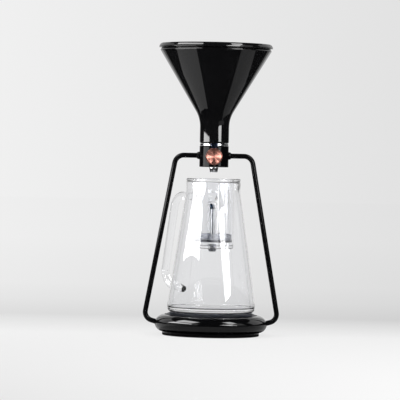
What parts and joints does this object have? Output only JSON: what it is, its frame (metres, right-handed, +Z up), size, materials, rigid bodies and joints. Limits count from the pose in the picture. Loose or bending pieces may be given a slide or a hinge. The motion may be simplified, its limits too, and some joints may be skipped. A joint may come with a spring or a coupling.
{
  "type": "smart coffee dripper",
  "caption": "Coffee dripper with a weighing base, bent rod frame, ceramic funnel over a plug valve with a copper knob, and a glass jug holding a drip chamber.",
  "frame": {"origin": "on the table, on the axis of the base, the middle of the whole outline seen from above", "axes": "+Z up, the knob and the front face -Y, the rod frame lies in the XZ plane, +X to the right seen from the front"},
  "size_m": [0.2066, 0.1724, 0.441],
  "materials": {
    "foot_rubber": "matt black moulded rubber",
    "cast_plate": "fine cast and machined, satin",
    "base_gloss": "piano-black gloss",
    "screw_steel": "plain steel",
    "inner_plastic": "fine-grained matt black",
    "battery_wrap": "plain coloured sleeve",
    "circuit_board": "green solder resist",
    "black_enamel": "gloss black enamel",
    "bright_metal": "polished stainless steel",
    "dark_metal": "polished dark metal",
    "silicone": "matt silicone",
    "seal_rubber": "smooth dark silicone",
    "copper": "radially brushed copper with a bright rim",
    "black_glaze": "opaque gloss black glaze on ceramic",
    "clear_glass": "clear borosilicate glass",
    "strainer_steel": "polished perforated stainless steel"
  },
  "bodies": {
    "stand": {"foot_ring": "foot_rubber", "base_plate": "cast_plate", "base_shell": "base_gloss", "housing_screw_1": "screw_steel", "housing_screw_2": "screw_steel", "housing_screw_3": "screw_steel", "housing_screw_4": "screw_steel", "battery_holder": "inner_plastic", "battery_front": "battery_wrap", "battery_rear": "battery_wrap", "battery_contact_left": "screw_steel", "battery_contact_right": "screw_steel", "load_cell_spacer": "cast_plate", "load_cell": "cast_plate", "cell_screw_1": "screw_steel", "cell_screw_2": "screw_steel", "platform_carrier": "cast_plate", "carrier_screw_1": "screw_steel", "carrier_screw_2": "screw_steel", "weighing_platform": "base_gloss", "circuit_board": "circuit_board", "board_screw_1": "screw_steel", "board_screw_2": "screw_steel", "radio_can": "screw_steel", "processor_chip": "inner_plastic", "tact_switch": "inner_plastic", "left_rod": "black_enamel", "left_rod_anchor": "cast_plate", "left_anchor_screw": "screw_steel", "left_rod_grub_screw": "screw_steel", "right_rod": "black_enamel", "right_rod_anchor": "cast_plate", "right_anchor_screw": "screw_steel", "right_rod_grub_screw": "screw_steel", "valve_body": "black_enamel", "nozzle": "bright_metal", "funnel_adaptor": "bright_metal", "funnel_seal": "silicone", "valve_marker": "dark_metal", "plug_washer": "screw_steel", "rear_cap": "black_enamel"},
    "valve_dial": {"valve_plug": "screw_steel", "plug_seal_front": "silicone", "plug_seal_rear": "silicone", "knob": "copper", "knob_screw": "screw_steel"},
    "funnel": {"funnel": "black_glaze"},
    "jug": {"jug": "clear_glass", "jug_handle": "clear_glass"},
    "chamber": {"drip_chamber": "clear_glass", "drip_tip": "dark_metal", "tip_nut": "dark_metal"},
    "strainer": {"strainer_cup": "strainer_steel", "strainer_seal": "seal_rubber", "strainer_stem": "strainer_steel", "stem_nut": "strainer_steel", "stem_cap": "dark_metal"},
    "battery_door": {"battery_door": "inner_plastic"},
    "power_button": {"power_button": "inner_plastic"}
  },
  "joints": [
    {"name": "valve_turn", "type": "hinge", "parent": "stand", "child": "valve_dial", "pos_m": [0, -0.0221, 0.2705], "axis": [0, -1, 0], "range_deg": [0, 90]},
    {"name": "funnel_lift", "type": "slide", "parent": "stand", "child": "funnel", "axis": [0, 0, 1], "range_m": [0, 0.06]},
    {"name": "jug_slide", "type": "slide", "parent": "stand", "child": "jug", "axis": [0, -1, 0], "range_m": [0, 0.16]},
    {"name": "chamber_lift", "type": "slide", "parent": "jug", "child": "chamber", "axis": [0, 0, 1], "range_m": [0, 0.008]},
    {"name": "strainer_lift", "type": "slide", "parent": "chamber", "child": "strainer", "axis": [0, 0, 1], "range_m": [0, 0.035]},
    {"name": "battery_door_slide", "type": "slide", "parent": "stand", "child": "battery_door", "axis": [0, 1, 0], "range_m": [0, 0.008]},
    {"name": "power_button_press", "type": "slide", "parent": "stand", "child": "power_button", "axis": [0, 0, 1], "range_m": [0, 0.0005], "stiffness_N_per_m": 400}
  ]
}
